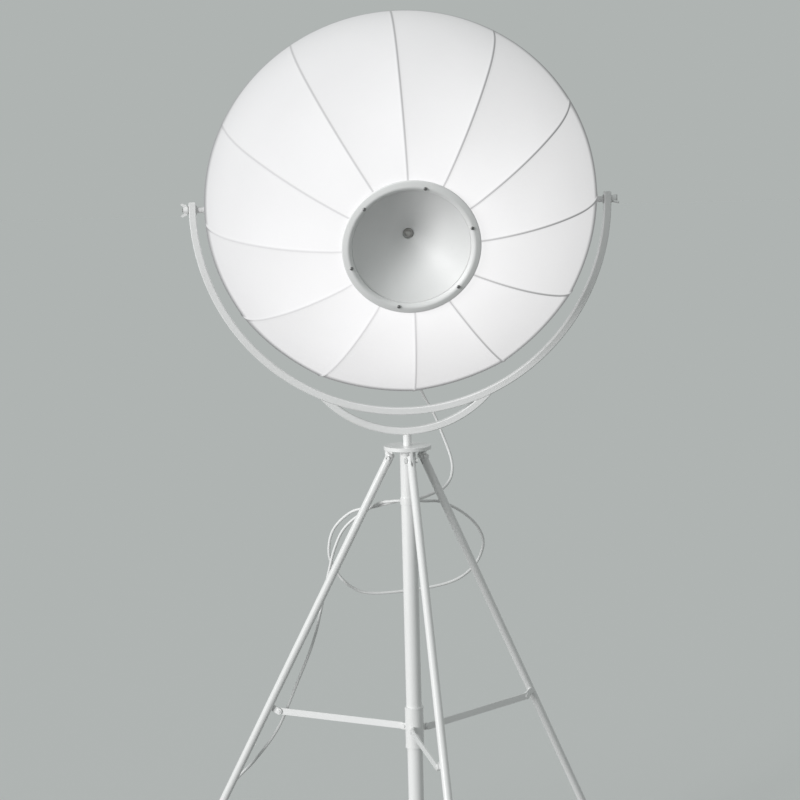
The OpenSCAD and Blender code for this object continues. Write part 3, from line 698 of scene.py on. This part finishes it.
# Painted glow of the bulb's light on the cloth, stronger near the hub, and painted brighter at the side
# towards glowTurn to make up for the key light that falls on the other side
def clothGlow(share, turn):
    glow = cloth["glowRim"] + (cloth["glowHub"] - cloth["glowRim"]) * share**0.5
    # Painted light: brighter towards glowTurn, the side the key light doesn't reach
    uneven = cloth["glowSidePaintedLight"] * math.cos(math.radians(turn - cloth["glowTurn"]))
    return glow + uneven * (1 - cloth["glowEvening"] * share)


# How dark the painted shadow of a rib is, fainter near the hub and at the side away from ribTurn; its
# change from side to side is painted shade from the key light, which leaves the seams at the ribTurn side
# in shade
def ribShade(share, turn):
    facing = math.cos(math.radians(turn - cloth["ribTurn"]))
    fading = cloth["ribFade"] * share**2 * (0.5 + 0.5 * facing)
    return (cloth["ribShade"] + cloth["ribSidePaintedShade"] * facing) * (cloth["ribAtRim"] - fading)


def makeShadeCloth():
    points, places = [], []
    values = {"ribDistance": [], "clothGlow": [], "ribShade": [], "hemShade": []}
    rows = clothRows()
    gores = shade["gores"]
    run = 0.0
    for index, (spot, out, share, hem) in enumerate(rows):
        if index:
            run += (spot - rows[index - 1][0]).length
        width = 2 * math.pi * spot.x / gores
        for gore in range(gores):
            for offset in goreOffsets(width):
                turn = shade["ribTurn"] + (gore + offset / width) * 360 / gores
                at = spot + out * clothRise(share, offset, width)
                points.append(headMatrix @ (around(at.x, turn).to_3d() + Vector((0, 0, at.y))))
                values["ribDistance"].append(min(offset, width - offset))
                values["clothGlow"].append(clothGlow(share, turn))
                values["ribShade"].append(ribShade(share, turn))
                values["hemShade"].append(cloth["hemShade"] * ease(hem * cloth["hemRise"]))
                places.extend((offset - width / 2 + gore, run, 0.0))
    count = len(points) // len(rows)
    faces = []
    for i in range(len(rows) - 1):
        low, high = i * count, (i + 1) * count
        for k in range(count):
            n = (k + 1) % count
            faces.append((low + k, low + n, high + n, high + k))
    piece = makeMesh("shadeCloth", points, faces)
    for name, numbers in values.items():
        setFloats(piece, name, numbers)
    inCloth = piece.data.attributes.new("clothPlace", "FLOAT_VECTOR", "POINT")
    inCloth.data.foreach_set("vector", places)
    return dress(piece, "cloth", "head", ["shade_cover"]), run


shadeCloth, clothRun = makeShadeCloth()

# Each rib: a circle turned along the shoulder's curve, then along the crown's

rib = {
    "wire": 0.002,
    "depth": 0.003,
    "hoopWire": 0.004,
    "gap": 0.00006,
    "clampRadius": 0.1306,
    "sides": 12,
    "shoulderSteps": 12,
    "crownSteps": 16,
}


def makeRib(number):
    shoulder = shade["shoulderRadius"] - rib["depth"]
    crown = shade["crownRadius"] - rib["depth"]
    start = math.degrees(math.asin((rib["hoopWire"] + rib["gap"]) / shoulder))
    end = math.degrees(math.acos((rib["clampRadius"] - crownCentre.x) / crown))
    middle = shade["shoulderAngle"]
    first = shoulderCentre + around(shoulder, start)
    tilt = Matrix.Rotation(-math.radians(start), 4, "Y")
    place = Matrix.Translation((first.x, 0, first.y)) @ tilt
    bm = bmesh.new()
    bmesh.ops.create_circle(
        bm, cap_ends=False, segments=rib["sides"], radius=rib["wire"], matrix=place
    )
    ring = bm.edges[:]
    for centre, angle, steps in (
        (shoulderCentre, middle - start, rib["shoulderSteps"]),
        (crownCentre, end - middle, rib["crownSteps"]),
    ):
        grown = bmesh.ops.spin(
            bm,
            geom=ring,
            cent=(centre.x, 0, centre.y),
            axis=(0, -1, 0),
            angle=math.radians(angle),
            steps=steps,
        )
        ring = [part for part in grown["geom_last"] if isinstance(part, bmesh.types.BMEdge)]
    bmesh.ops.holes_fill(bm, edges=[edge for edge in bm.edges if edge.is_boundary])
    turn = shade["ribTurn"] + 360 * number / shade["gores"]
    bm.transform(headMatrix @ Matrix.Rotation(math.radians(turn), 4, "Z"))
    dress(meshFrom(f"ribRod{number}", bm), "rib_paint", "head", [f"rib_{number}"])


for number in range(1, shade["gores"] + 1):
    makeRib(number)

# The hub: a pressed ring and a spun funnel, each a section that is spun round the shade's axis

hub = {
    "opening": 0.113,
    "ringRise": 0.003,
    "ringHeight": 0.008,
    "ringWall": 0.002,
    "outerFall": 0.0032,
    "innerFall": 0.0048,
    "crest": 0.1195,
    "flangeRise": 0.0013,
    "coneDepth": 0.082,
    "tipRadius": 0.011,
    "tipRise": 0.008,
    "wall": 0.0012,
    "bore": 0.0051,
    "segments": 192,
    "ringBevels": (((1,), 0.002, 6), ((2,), 0.003, 8), ((3,), 0.0012, 4)),
    "innerWall": 0.001,
    "flangeWidth": 0.0125,
    "flareGap": 0.0015,
    "flareSteps": 40,
    "flareBend": 0.18,
    "wellBevel": 0.001,
    "screws": 6,
    "screwTurn": 18,
    "screwSink": 0.0004,
    "screwRadius": 0.0035,
    "screwSides": 36,
    "screwDome": ((0.0010, 0.97), (0.0017, 0.86), (0.0022, 0.70), (0.0024, 0.60)),
    "socketRadius": 0.0018,
    "socketDepth": 0.0014,
}


def spinSection(name, corners, rounded=()):
    bm = bmesh.new()
    verts = [bm.verts.new((radius, 0, height)) for radius, height in corners]
    for i, vert in enumerate(verts):
        bm.edges.new((vert, verts[(i + 1) % len(verts)]))
    for picks, radius, segments in rounded:
        bmesh.ops.bevel(
            bm,
            geom=[verts[i] for i in picks],
            offset=radius,
            offset_type="OFFSET",
            segments=segments,
            profile=0.5,
            affect="VERTICES",
            material=-1,
        )
    bmesh.ops.spin(
        bm,
        geom=bm.verts[:] + bm.edges[:],
        cent=(0, 0, 0),
        axis=(0, 0, 1),
        angle=2 * math.pi,
        steps=hub["segments"],
        use_merge=True,
    )
    radii = [math.hypot(vert.co.x, vert.co.y) for vert in bm.verts]
    bm.transform(headMatrix)
    piece = meshFrom(name, bm)
    setFloats(piece, "spinRadius", radii)
    return piece


# The ring is highest where its screws sit and falls away to both edges
def makeHubRing():
    low = domeHeight + hub["ringRise"]
    top = low + hub["ringHeight"]
    inner, outer, wall, crest = hub["opening"], shade["hubRadius"], hub["ringWall"], hub["crest"]
    outerEdge, innerEdge = top - hub["outerFall"], top - hub["innerFall"]
    corners = [(outer, low), (outer, outerEdge), (crest, top), (inner, innerEdge), (inner, low)]
    corners += [(inner + wall, low), (inner + wall, innerEdge - hub["innerWall"])]
    corners += [(crest, top - wall), (outer - wall, outerEdge - wall), (outer - wall, low)]
    piece = spinSection("hubRing", corners, hub["ringBevels"])
    dress(piece, "ring_paint", "head", ["hub_ring"])


def edgesBetween(bm, verts):
    chosen = set(verts)
    return [edge for edge in bm.edges if chosen.issuperset(edge.verts)]


def grownVerts(bm, edges):
    grown = bmesh.ops.extrude_edge_only(bm, edges=edges)["geom"]
    return [part for part in grown if isinstance(part, bmesh.types.BMVert)]


def addCircle(bm, segments, radius, place):
    made = bmesh.ops.create_circle(
        bm, cap_ends=False, segments=segments, radius=radius, matrix=place
    )
    return edgesBetween(bm, made["verts"])


# Screws with domed heads on the ring's crest, each with a six-sided socket
def makeScrews():
    bm = bmesh.new()
    foot = domeHeight + hub["ringRise"] + hub["ringHeight"] - hub["screwSink"]
    for number in range(hub["screws"]):
        turn = hub["screwTurn"] + 360 / hub["screws"] * number
        turned = Matrix.Rotation(math.radians(turn), 4, "Z")
        place = turned @ Matrix.Translation((hub["crest"], 0, foot))
        back = place.inverted()
        base = addCircle(bm, hub["screwSides"], hub["screwRadius"], place)
        ring = base
        for rise, share in hub["screwDome"]:
            raised = grownVerts(bm, ring)
            for vert in raised:
                flat = (back @ vert.co).xy.normalized() * hub["screwRadius"] * share
                vert.co = place @ Vector((flat.x, flat.y, rise))
            ring = edgesBetween(bm, raised)
        lifted = place @ Matrix.Translation((0, 0, hub["screwDome"][-1][0]))
        hexagon = addCircle(bm, 6, hub["socketRadius"], lifted)
        bmesh.ops.bridge_loops(bm, edges=ring + hexagon)
        sunk = grownVerts(bm, hexagon)
        down = turned.to_3x3() @ Vector((0, 0, -hub["socketDepth"]))
        bmesh.ops.translate(bm, verts=sunk, vec=down)
        bmesh.ops.contextual_create(bm, geom=sunk)
        bmesh.ops.holes_fill(bm, edges=base)
    bm.transform(headMatrix)
    dress(meshFrom("hubScrews", bm), "dark_steel", "head", ["hub_screws"])


def flare(share):
    rise = (1 - hub["flareBend"]) * share + hub["flareBend"] * share * share
    foot = domeHeight - hub["coneDepth"] + hub["tipRise"]
    top = domeHeight + hub["flangeRise"]
    widening = hub["opening"] - hub["flareGap"] - hub["tipRadius"]
    return (hub["tipRadius"] + widening * share, foot + (top - foot) * rise)


def makeFunnel():
    skin = [flare(i / hub["flareSteps"]) for i in range(hub["flareSteps"] + 1)]
    tip, wall, bore = hub["tipRadius"], hub["wall"], hub["bore"]
    low = domeHeight - hub["coneDepth"]
    flange = domeHeight + hub["flangeRise"]
    rim = hub["opening"] + hub["flangeWidth"]
    corners = [(bore, low), (tip + wall, low)]
    corners += [(radius + wall, height) for radius, height in skin]
    corners += [(rim, flange), (rim, flange + wall)]
    corners += [(radius, height + wall) for radius, height in reversed(skin)]
    corners += [(tip, low + wall), (bore, low + wall)]
    bevel = hub["wellBevel"]
    rounded = [((1,), bevel, 3), ((len(corners) - 2,), bevel, 3)]
    piece = spinSection("funnel", corners, rounded)
    dress(piece, "cone_paint", "head", ["cone"])


makeHubRing()
makeScrews()
makeFunnel()
print("hub made")

# The lead inside the shade, from the lamp holder along a rib to the sleeve. Its places are a radius and a
# height, above the funnel's tip and then above the dome's top.

lead = {
    "fromTip": ((0.0135, -0.012), (0.022, -0.011), (0.042, 0.018), (0.072, 0.042)),
    "fromTop": ((0.100, -0.019), (0.118, -0.016), (0.140, -0.012)),
    "underCrown": 0.011,
    "crownAngles": (66, 57, 48),
    "underShoulder": 0.014,
    "shoulderAngles": (40, 30, 20),
    "beforeSleeve": (0.001, 0.032),
    "steps": 6,
}


def makeLead():
    tip = domeHeight - hub["coneDepth"]
    line = [(radius, tip + height) for radius, height in lead["fromTip"]]
    line += [(radius, domeHeight + height) for radius, height in lead["fromTop"]]
    for centre, radius, angles in (
        (crownCentre, shade["crownRadius"] - lead["underCrown"], lead["crownAngles"]),
        (shoulderCentre, shade["shoulderRadius"] - lead["underShoulder"], lead["shoulderAngles"]),
    ):
        line += [tuple(centre + around(radius, angle)) for angle in angles]
    inset, height = lead["beforeSleeve"]
    line += [(cord["exitRadius"] - inset, height), (cord["exitRadius"], cord["sleeveStart"])]
    points = [headMatrix @ exitPoint(radius, height) for radius, height in line]
    first, last = headTurn @ exitOut, headTurn @ exitBack
    path = smoothPath(points, first, last, lead["steps"])
    dress(makeTube("leadInside", path, first, last), "cord_pvc", "head", ["lead"])


makeLead()


# CAD pieces that keep their shape get their paint
def paintCad():
    for entry in frame["record"]["subparts"]:
        piece = bpy.data.objects.get(entry["node"])
        if piece is None or piece.hide_render:
            continue
        for place in piece.material_slots:
            place.material = paints[entry["material_slot"]]


paintCad()
print("paint done")

studio = {
    "floorSize": 120,
    "floorSeen": (0.753, 0.764, 0.761, 1),
    "floorDim": (0.31, 0.31, 0.31, 1),
    "air": (0.430, 0.456, 0.446, 1),
    "keyFrom": (-0.816, -0.551, 0.174),
    "keyPower": 2.5,
    "keySoftness": 28,
}


# The floor is as pale as the air where the camera or a shiny part sees it, and throws less light
# back up
def makeFloor():
    bm = bmesh.new()
    bmesh.ops.create_grid(bm, x_segments=1, y_segments=1, size=studio["floorSize"] / 2)
    floor = meshFrom("floor", bm)
    material, nodes, shader = newMaterial("floorPale")
    rays = nodes.add("ShaderNodeLightPath").outputs
    mirrored = nodes.math("MAXIMUM", rays["Is Glossy Ray"], rays["Is Transmission Ray"])
    seen = nodes.math("MAXIMUM", rays["Is Camera Ray"], mirrored)
    nodes.join(nodes.mix(seen, studio["floorDim"], studio["floorSeen"]), shader.inputs["Base Color"])
    shader.inputs["Roughness"].default_value = 1.0
    shader.inputs["Specular IOR Level"].default_value = 0.0
    floor.data.materials.append(material)


def makeKeyLight():
    lamp = bpy.data.lights.new("keyLight", "SUN")
    lamp.energy = studio["keyPower"]
    lamp.angle = math.radians(studio["keySoftness"])
    light = bpy.data.objects.new("keyLight", lamp)
    light.rotation_euler = (-Vector(studio["keyFrom"])).to_track_quat("-Z", "Y").to_euler()
    bpy.context.scene.collection.objects.link(light)


def makeWorld():
    world = bpy.data.worlds.new("room")
    world.use_nodes = True
    background = world.node_tree.nodes["Background"]
    background.inputs["Color"].default_value = studio["air"]
    background.inputs["Strength"].default_value = 1.0
    bpy.context.scene.world = world


makeFloor()
makeWorld()
makeKeyLight()
bpy.context.scene.view_settings.view_transform = "Standard"
